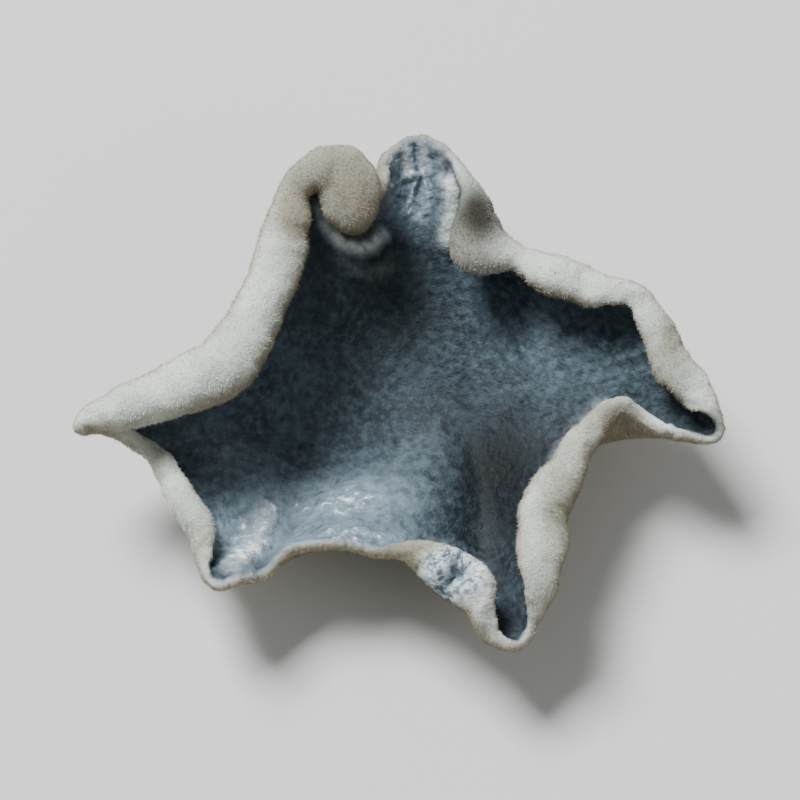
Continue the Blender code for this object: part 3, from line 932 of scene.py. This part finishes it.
# %% Its powder and painted highlights: haze, grains, the crests of folds, and the sheet's thin edge
lines = add(tree, "ShaderNodeAttribute", attribute_name="raised").outputs["Fac"]
powder_and_light = add(tree, "ShaderNodeAttribute", attribute_name="powder_and_painted_light").outputs["Fac"]
grains = add(tree, "ShaderNodeTexNoise",
             {"Vector": in_mm, "Scale": 1.9, "Detail": 5.0, "Roughness": 0.7,
              "Distortion": 0.6})
crest_grains = add(tree, "ShaderNodeMath", {0: lines, 1: 0.16, 2: grains},
                   operation="MULTIPLY_ADD")
frost_and_painted_highlight = add(tree, "ShaderNodeMath", {0: powder_and_light, 1: crest_grains}, operation="MULTIPLY")
on_crest = add(tree, "ShaderNodeMapRange",
               {"Value": mottle, "From Min": 0.35, "From Max": 0.60, "To Min": 0.45})
# The thin edge of the sheet is paler where it faces up: painted light.
edge_tone = coated(tree, "#66757c", ("bleach_and_painted_light", 0, 1, 1, "#c8ccc4"))
# Frost with painted highlights, and fold crests that are partly painted highlight.
base = coated(tree, base,
              (frost_and_painted_highlight, 0.12, 0.58, 0.85, "#899ca8"),
              (frost_and_painted_highlight, 0.55, 0.66, 1, "#e9eff0"),
              # crests of folds: painted highlight, partly dust
              ("crest_dust_and_highlight", 0, 1, on_crest, "#e2e9e6"),
              ("inner", 1, 0.5, 1, edge_tone))
dull = add(tree, "ShaderNodeMapRange",
           {"Value": mottle, "From Min": 0.3, "From Max": 0.7,
            "To Min": 0.45, "To Max": 0.68})
pores = add(tree, "ShaderNodeTexNoise",
            {"Vector": in_mm, "Scale": 3.0, "Detail": 6.0, "Roughness": 0.6})
relief = add(tree, "ShaderNodeBump",
             {"Height": pores, "Strength": 0.9, "Distance": 0.15 * MM})
fill(tree, shader, {"Base Color": base, "Roughness": dull, "Normal": relief})
print(inner_skin.name, "has", len(tree.nodes), "nodes")

# %% [markdown]
# ## Finish of the outer face
# The outside is felt: short dense hairs on a tan skin. Here is the skin below them. It is fully
# matt, with a faint sheen from the fibres, pale where it faces up, from bleach and painted light,
# tan with painted shade on the knob and the sides of the rolls, painted almost black in the shade
# of the flap, and brown towards the foot. On the nub the felt is gone, and crumbs of dried skin
# show, pale on blue grey.

# %% Felted outer skin
outer_skin = bpy.data.materials.new("felted outer skin, dried")
tree, shader, in_mm = start_finish(
    outer_skin, {"Roughness": 0.9, "IOR": 1.4, "Sheen Weight": 0.25, "Sheen Roughness": 0.5})
patches = add(tree, "ShaderNodeTexNoise",
              {"Vector": in_mm, "Scale": 0.6, "Detail": 5.0, "Roughness": 0.6})
crumbs = add(tree, "ShaderNodeTexNoise",
             {"Vector": in_mm, "Scale": 2.6, "Detail": 5.0, "Roughness": 0.7, "Distortion": 0.6})
bleach_and_light_tone = coated(tree, "#b8beb4", (patches, 0.35, 0.68, 1, "#e0e5dc"))
crumb_tone = coated(tree, "#5f717e", (crumbs, 0.42, 0.56, 1, "#dfe9ec"))
base = coated(tree, "#7d7258",
              (patches, 0.35, 0.68, 1, "#a59d84"),
              # painted light: pale where the felt faces up, partly bleach
              ("bleach_and_painted_light", 0, 1, 1, bleach_and_light_tone),
              # tan, partly painted shade
              ("tan_and_painted_shade", 0, 1, 0.75, "#6f6549"),
              ("browned", 0, 1, 0.6, "#5f4f39"),
              # painted shade: the flap beside the neck, almost black
              ("shaded", 0, 1, 1, "#2b261c"),
              ("crumbly", 0, 1, 1, crumb_tone),
              ("sunken", 0.1, 0.6, 0.7, "#64788a"))
fibres = add(tree, "ShaderNodeTexNoise",
             {"Vector": in_mm, "Scale": 9.0, "Detail": 4.0, "Roughness": 0.7})
relief = add(tree, "ShaderNodeBump",
             {"Height": fibres, "Strength": 0.8, "Distance": 0.08 * MM})
fill(tree, shader, {"Base Color": base, "Normal": relief})
print(outer_skin.name, "has", len(tree.nodes), "nodes")

# %% [markdown]
# ## Finish of the cut
# Where the knife took it off the wood, the dried flesh shows: brown, horny and a little fibrous.

# %% Cut flesh
cut_flesh = bpy.data.materials.new("cut flesh, dried")
tree, shader, in_mm = start_finish(cut_flesh, {"Roughness": 0.6, "IOR": 1.45})
strands = add(tree, "ShaderNodeTexNoise",
              {"Vector": in_mm, "Scale": 2.5, "Detail": 5.0, "Roughness": 0.6,
               "Distortion": 0.8})
base = coated(tree, "#3c3026", (strands, 0, 1, 1, "#7a6850"))
relief = add(tree, "ShaderNodeBump",
             {"Height": strands, "Strength": 0.6, "Distance": 0.1 * MM})
fill(tree, shader, {"Base Color": base, "Normal": relief})
print(cut_flesh.name, "has", len(tree.nodes), "nodes")

# %% Give each face its finish: the inner one is there, and the other two come behind it
for finish in (outer_skin, cut_flesh):
    skin.data.materials.append(finish)
corner_count = read(skin.data.polygons, "loop_total", kind=np.int32)
corners = read(skin.data.loops, "vertex_index", kind=np.int32)
starts = np.concatenate(([0], np.cumsum(corner_count)[:-1]))
inner_of_face = np.add.reduceat(inner[corners], starts) / corner_count
cut_of_face = np.add.reduceat(cut[corners].astype(float), starts) / corner_count
finish_of_face = np.where(cut_of_face > 0.99, 2, np.where(inner_of_face > 0.5, 0, 1))
skin.data.polygons.foreach_set("material_index", finish_of_face.astype(np.int32))
skin.data.shade_smooth()
print("finishes:", [finish.name for finish in skin.data.materials])
print("faces of each:", np.bincount(finish_of_face, minlength=3))

# %% [markdown]
# ## The felt
# The hairs on the outside are a few hundredths of a millimetre thick and stand close, at all
# angles, like the nap of a blanket. A geometry node tree scatters them: points on the felted
# places, one small bent cone on each, leaning at random, longer and shorter. They are drawn a
# little thicker than real ones, so that they show at this size.

# %% The tree that grows the felt: its inputs, and one hair, bent to one side
HAIR_BEND = 0.35              # how far its tip leans over, as a share of its length
felt_tree = new_tree("felt hairs", {
    "Hairs per square mm": "Float", "Length": "Float", "Width": "Float", "Stand": "Float",
    "Seed": "Int", "Finish": "Material",
})
given = add(felt_tree, "NodeGroupInput").outputs
seed = given["Seed"]
length = add(felt_tree, "ShaderNodeMath", {0: given["Length"], 1: MM}, operation="MULTIPLY")
half_width = add(felt_tree, "ShaderNodeMath", {0: given["Width"], 1: 0.5 * MM},
                 operation="MULTIPLY")
strand = add(felt_tree, "GeometryNodeMeshCone",
             {"Vertices": 3, "Side Segments": 1, "Radius Top": 0.0,
              "Radius Bottom": half_width, "Depth": length}, fill_type="NGON")
strand_place = add(felt_tree, "GeometryNodeInputPosition")
bend = add(felt_tree, "ShaderNodeSeparateXYZ", {0: strand_place}).outputs["Z"]
for operation, by in (("DIVIDE", length), ("POWER", 2.0), ("MULTIPLY", length),
                      ("MULTIPLY", HAIR_BEND)):
    bend = add(felt_tree, "ShaderNodeMath", {0: bend, 1: by}, operation=operation)
bend = add(felt_tree, "ShaderNodeCombineXYZ", {"X": bend})
strand = add(felt_tree, "GeometryNodeSetPosition", {"Geometry": strand, "Offset": bend})
print("the tip of a hair 0.1 mm long leans over by, mm:", round(0.1 * HAIR_BEND, 3))

# %% Where the hairs stand, how they lean, and their tones
density = given["Hairs per square mm"]
felted_there = add(felt_tree, "GeometryNodeInputNamedAttribute", {"Name": "felted"},
                   data_type="FLOAT")
for by in (1e6, felted_there):       # first from square millimetres to square metres
    density = add(felt_tree, "ShaderNodeMath", {0: density, 1: by}, operation="MULTIPLY")
roots = add(felt_tree, "GeometryNodeDistributePointsOnFaces",
            {"Mesh": given["Geometry"], "Density": density, "Seed": seed},
            distribute_method="RANDOM")
stray = add(felt_tree, "FunctionNodeRandomValue",
            {0: (-1.0, -1.0, -1.0), 1: (1.0, 1.0, 1.0), "Seed": seed}, data_type="FLOAT_VECTOR")
upright = add(felt_tree, "ShaderNodeVectorMath",
              {0: roots.outputs["Normal"], "Scale": given["Stand"]}, operation="SCALE")
lean = add(felt_tree, "ShaderNodeVectorMath", {0: upright, 1: stray}, operation="ADD")
turned = add(felt_tree, "FunctionNodeAlignRotationToVector", {"Vector": lean}, axis="Z")
spin, size, tone = (
    add(felt_tree, "FunctionNodeRandomValue", {2: least, 3: most, "Seed": seed},
        data_type="FLOAT")
    for least, most in ((0.0, 2.0 * math.pi), (0.6, 1.25), (0.0, 1.0)))
spin = add(felt_tree, "FunctionNodeAxisAngleToRotation", {"Axis": (0, 0, 1), "Angle": spin})
turned = add(felt_tree, "FunctionNodeRotateRotation", {"Rotation": turned, "Rotate By": spin},
             rotation_space="LOCAL")
hairs = add(felt_tree, "GeometryNodeInstanceOnPoints",
            {"Points": roots, "Instance": strand, "Rotation": turned, "Scale": size})
hairs = add(felt_tree, "GeometryNodeStoreNamedAttribute",
            {"Geometry": hairs, "Name": "tone", "Value": tone},
            data_type="FLOAT", domain="INSTANCE")
real = add(felt_tree, "GeometryNodeRealizeInstances", {"Geometry": hairs})
finished = add(felt_tree, "GeometryNodeSetMaterial",
               {"Geometry": real, "Material": given["Finish"]})
add(felt_tree, "NodeGroupOutput", {"Geometry": finished})
print(felt_tree.name, "has", len(felt_tree.nodes), "nodes")

# %% [markdown]
# The hairs are hollow fungal threads, colourless to tan. Each reads how bleached and lit its root
# is, with painted light where it faces up, how tan it is, with painted shade, and the painted shade
# on the flap, and has a tone of its own, so that the nap is never one flat colour. Faint stains
# about a millimetre wide run through the pale parts, and the hollows between the wrinkles are
# greyer.

# %% Finish of the hairs, and the felt itself
hair_finish = bpy.data.materials.new("felt hair")
tree, shader, in_mm = start_finish(hair_finish, {"Roughness": 0.75, "IOR": 1.4})
stains = add(tree, "ShaderNodeTexNoise",
             {"Vector": in_mm, "Scale": 0.9, "Detail": 4.0, "Roughness": 0.6})
bleach_and_light_hair = coated(tree, "#c9d1ca", ("tone", 0, 1, 1, "#f3faf5"),
                   (stains, 0.47, 0.64, 0.75, "#a3a18c"))
tan_and_shade_hair = coated(tree, "#6f6549", ("tone", 0, 1, 1, "#91876a"))
base = coated(tree, "#7d735a",
              ("tone", 0, 1, 1, "#aaa28b"),
              # painted light where the felt faces up, partly bleach
              ("bleach_and_painted_light", 0, 1, 1, bleach_and_light_hair),
              ("raised", 0, -0.5, 0.55, "#7f7a64"),
              # tan, partly painted shade
              ("tan_and_painted_shade", 0, 1, 0.85, tan_and_shade_hair),
              ("browned", 0, 1, 0.55, "#6e5e48"),
              # painted shade on the flap beside the neck
              ("shaded", 0, 1, 1, "#2f2a1f"))
fill(tree, shader, {"Base Color": base})

FELTS = (  # name, hairs per square mm, length, width, stand, seed
    ("felt_nap_1", 56.0, 0.10, 0.024, 0.8, 11),
    ("felt_nap_2", 56.0, 0.10, 0.024, 0.8, 23),
    ("felt_nap_3", 56.0, 0.08, 0.026, 0.6, 37),
    ("felt_nap_4", 40.0, 0.14, 0.022, 1.0, 41),
)
felts = []
for name, many, length_mm, width_mm, stand, seed in FELTS:
    felt = put(name, skin.data.copy())
    use_tree(felt, felt_tree, {
        "Hairs per square mm": many, "Length": length_mm, "Width": width_mm,
        "Stand": stand, "Seed": seed, "Finish": hair_finish,
    })
    felt.data.calc_loop_triangles()
    felts.append(felt)
    print(name, len(felt.data.loop_triangles), "triangles")

# %% [markdown]
# ## Put it in place of the solid
# The skin stands for the imported solid, and the felt goes with it. Both are fixed to the solid's
# body, and the solid is hidden.

# %% Hand the pieces to the frame
for piece in [skin] + felts:
    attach(piece, "root")
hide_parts("wood_ear")
